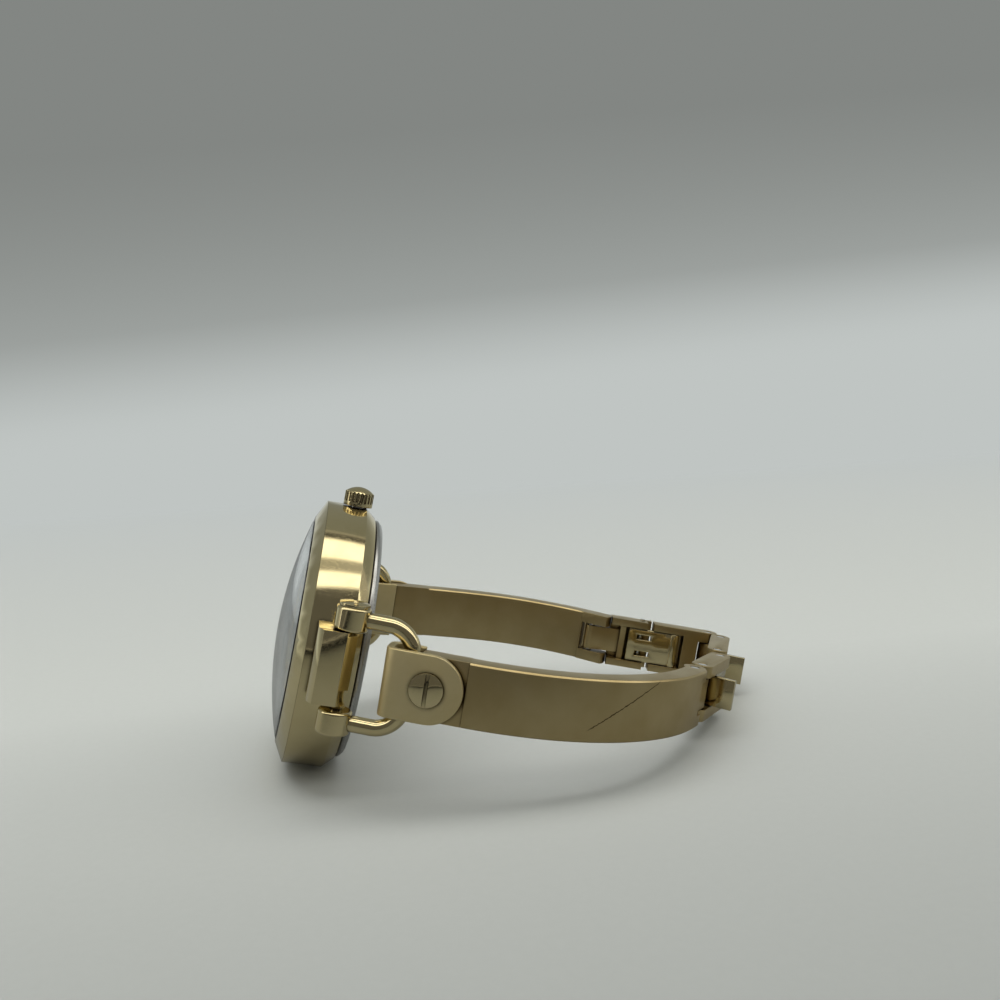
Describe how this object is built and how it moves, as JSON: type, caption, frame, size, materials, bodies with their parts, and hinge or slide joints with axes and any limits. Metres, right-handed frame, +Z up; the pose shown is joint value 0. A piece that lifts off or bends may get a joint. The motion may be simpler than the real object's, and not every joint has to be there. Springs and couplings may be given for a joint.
{
  "type": "bangle watch",
  "caption": "Round-cased bangle watch with a side crown, screwed shackle lugs, curved rigid arms, hinged end links and a fold-over clasp, stood on its side.",
  "frame": {"origin": "middle of the whole box, on the ground that the case wall and the last link stand on", "axes": "+X from the dial side of the case to the clasp end of the bangle, +Y towards 12 o'clock, +Z up, about 12 degrees off the crown's direction"},
  "size_m": [0.0726, 0.0536, 0.0377],
  "materials": {
    "gold_polished": "polished pale gold plating on stainless steel",
    "gold_brushed": "long-brushed pale gold plating on stainless steel",
    "steel_polished": "polished stainless steel",
    "steel_back": "satin stainless steel",
    "crystal_glass": "clear mineral glass",
    "gasket": "matte",
    "dial_paint": "satin champagne lacquer",
    "movement_brass": "satin",
    "movement_plastic": "moulded",
    "magnet_steel": "satin",
    "copper_wire": "enamelled wire"
  },
  "bodies": {
    "case": {"case_middle": "gold_polished", "bezel": "gold_polished", "crystal": "crystal_glass", "crystal_gasket": "gasket", "dial_ring": "dial_paint", "dial": "dial_paint", "hour_markers": "gold_polished", "movement_holder": "movement_plastic", "main_plate": "movement_brass", "train_bridge": "steel_polished", "coil_core": "magnet_steel", "coil_winding": "copper_wire", "stator": "magnet_steel", "circuit_board": "movement_plastic", "battery": "steel_polished", "battery_strap": "steel_polished", "crown_tube": "steel_polished", "case_back": "steel_back", "case_back_gasket": "gasket", "third_wheel": "movement_brass", "rotor": "magnet_steel"},
    "minute_arbor": {"minute_hand": "gold_polished", "center_wheel": "movement_brass"},
    "hour_pipe": {"hour_hand": "gold_polished", "hour_wheel": "movement_brass"},
    "minute_wheel": {"minute_wheel": "movement_brass"},
    "setting_lever": {"setting_lever": "steel_polished"},
    "crown": {"crown": "gold_polished", "stem": "steel_polished", "crown_gasket": "gasket"},
    "shackle_6": {"shackle_6": "gold_polished", "lug_screw_6": "gold_polished"},
    "shackle_12": {"shackle_12": "gold_polished", "lug_screw_12": "gold_polished"},
    "arm_6": {"arm_6": "gold_brushed", "tab_6": "gold_polished", "tab_screw_6": "gold_polished"},
    "arm_12": {"arm_12": "gold_brushed", "tab_12": "gold_polished", "tab_screw_12": "gold_polished", "clasp_bar": "steel_polished"},
    "connector_near": {"connector_near": "gold_brushed", "hinge_pins_near": "steel_polished"},
    "link_6": {"link_6": "gold_brushed"},
    "lip_plate": {"lip_plate": "gold_polished", "hinge_pins_middle": "steel_polished"},
    "end_link": {"end_link": "gold_brushed"},
    "connector_far": {"connector_far": "gold_brushed", "hinge_pins_far": "steel_polished"},
    "clasp_base": {"clasp_base": "gold_brushed", "leaf_pin": "steel_polished"},
    "latch_leaf": {"latch_leaf": "gold_polished"},
    "clasp_cover": {"clasp_cover": "gold_brushed", "snap_pin": "steel_polished"}
  },
  "joints": [
    {"name": "minute_turn", "type": "hinge", "parent": "case", "child": "minute_arbor", "pos_m": [-0.02765, -0.00052, 0.01773], "axis": [0.9685, 0, -0.2491], "continuous": true},
    {"name": "hour_turn", "type": "hinge", "parent": "case", "child": "hour_pipe", "pos_m": [-0.02765, -0.00052, 0.01773], "axis": [0.9685, 0, -0.2491], "continuous": true},
    {"name": "minute_wheel_turn", "type": "hinge", "parent": "case", "child": "minute_wheel", "pos_m": [-0.02814, -0.00052, 0.0158], "axis": [0.9685, 0, -0.2491], "continuous": true},
    {"name": "crown_pull", "type": "slide", "parent": "case", "child": "setting_lever", "axis": [0.2491, 0, 0.9685], "range_m": [0, 0.0006]},
    {"name": "crown_turn", "type": "hinge", "parent": "setting_lever", "child": "crown", "pos_m": [-0.02278, -0.00052, 0.03507], "axis": [0.2491, 0, 0.9685], "continuous": true},
    {"name": "shackle_6_swing", "type": "hinge", "parent": "case", "child": "shackle_6", "pos_m": [-0.02649, -0.0205, 0.0178], "axis": [0.2491, 0, 0.9685], "range_deg": [-30, 0]},
    {"name": "shackle_12_swing", "type": "hinge", "parent": "case", "child": "shackle_12", "pos_m": [-0.02649, 0.01947, 0.0178], "axis": [0.2491, 0, 0.9685], "range_deg": [0, 30]},
    {"name": "arm_6_swing", "type": "hinge", "parent": "shackle_6", "child": "arm_6", "pos_m": [-0.01898, -0.02201, 0.01587], "axis": [0.2491, 0, 0.9685], "range_deg": [-30, 0]},
    {"name": "arm_12_swing", "type": "hinge", "parent": "shackle_12", "child": "arm_12", "pos_m": [-0.01932, 0.02221, 0.01595], "axis": [0.2491, 0, 0.9685], "range_deg": [0, 30]},
    {"name": "near_hinge_arm", "type": "hinge", "parent": "arm_6", "child": "connector_near", "pos_m": [0.01964, -0.01278, 0.00729], "axis": [0.2169, 0, 0.9762], "range_deg": [-6, 12]},
    {"name": "near_hinge_link", "type": "hinge", "parent": "connector_near", "child": "link_6", "pos_m": [0.02177, -0.01018, 0.00681], "axis": [0.2169, 0, 0.9762], "range_deg": [-19, 10]},
    {"name": "middle_hinge_link", "type": "hinge", "parent": "link_6", "child": "lip_plate", "pos_m": [0.02751, -0.00246, 0.00554], "axis": [0.2169, 0, 0.9762], "range_deg": [-2.2, 4.2]},
    {"name": "middle_hinge_end", "type": "hinge", "parent": "lip_plate", "child": "end_link", "pos_m": [0.02887, 0.00171, 0.00524], "axis": [0.2169, 0, 0.9762], "range_deg": [-2.2, 4.2]},
    {"name": "far_hinge_link", "type": "hinge", "parent": "end_link", "child": "connector_far", "pos_m": [0.03384, 0.01258, 0.00413], "axis": [0.2169, 0, 0.9762], "range_deg": [-5.4, 3]},
    {"name": "far_hinge_clasp", "type": "hinge", "parent": "connector_far", "child": "clasp_base", "pos_m": [0.03277, 0.01537, 0.00437], "axis": [0.2169, 0, 0.9762], "range_deg": [-1.8, 3.2]},
    {"name": "leaf_open", "type": "hinge", "parent": "clasp_base", "child": "latch_leaf", "pos_m": [0.02751, 0.01577, 0.00554], "axis": [0.2169, 0, 0.9762], "range_deg": [0, 90]},
    {"name": "cover_open", "type": "hinge", "parent": "arm_12", "child": "clasp_cover", "pos_m": [0.01456, 0.01941, 0.00842], "axis": [0.2169, 0, 0.9762], "range_deg": [0, 60]}
  ],
  "couplings": [
    {"joint": "hour_turn", "follows": "minute_turn", "ratio": 0.083333},
    {"joint": "minute_wheel_turn", "follows": "minute_turn", "ratio": -0.33333},
    {"joint": "near_hinge_link", "follows": "near_hinge_arm", "ratio": -1.442},
    {"joint": "middle_hinge_link", "follows": "near_hinge_arm", "ratio": 0.3},
    {"joint": "middle_hinge_end", "follows": "near_hinge_arm", "ratio": 0.3},
    {"joint": "far_hinge_link", "follows": "near_hinge_arm", "ratio": -0.383},
    {"joint": "far_hinge_clasp", "follows": "near_hinge_arm", "ratio": 0.225}
  ]
}
